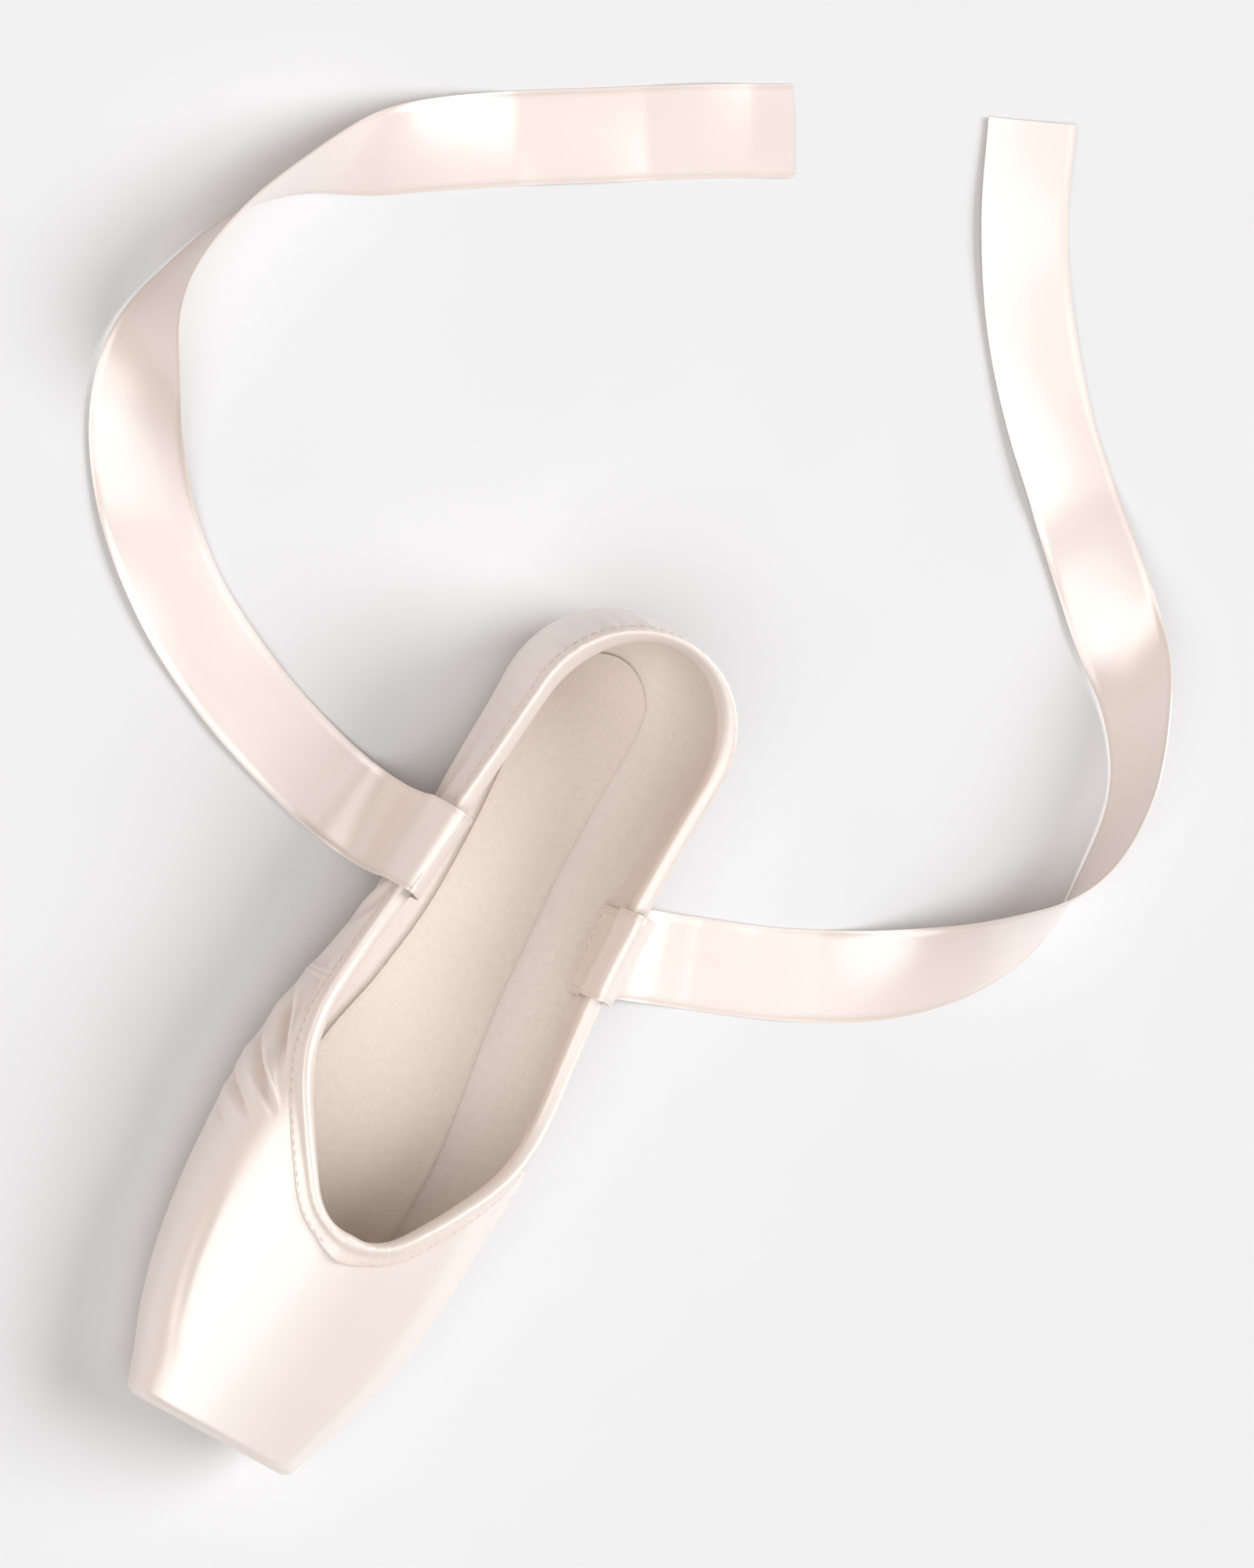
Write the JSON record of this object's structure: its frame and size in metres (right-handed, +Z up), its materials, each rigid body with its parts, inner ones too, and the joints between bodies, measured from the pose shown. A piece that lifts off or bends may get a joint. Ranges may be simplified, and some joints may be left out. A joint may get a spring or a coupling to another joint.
{
  "type": "pointe shoe",
  "caption": "Satin pointe shoe on a straight last with a stiff box and flat platform, bound topline, leather outsole and two loose ribbons, standing empty on its sole.",
  "frame": {"origin": "on the floor under the middle of the shoe, its ribbons left out", "axes": "+Z up, the toe's platform towards -Y, the heel towards +Y, +X to the wearer's left"},
  "size_m": [0.2975, 0.4051, 0.055],
  "materials": {
    "satin": "smooth pale pink satin with a soft gloss",
    "binding_satin": "folded satin casing, stitched along its lower edge",
    "ribbon_satin": "woven satin ribbon with plain selvedges",
    "sole_leather": "unfinished tan sole leather",
    "insole_cloth": "matt cotton sock lining"
  },
  "bodies": {
    "root": {"upper": "satin", "outsole": "sole_leather", "insole": "insole_cloth", "binding": "binding_satin", "ribbon_left": "ribbon_satin", "ribbon_right": "ribbon_satin"}
  },
  "joints": []
}
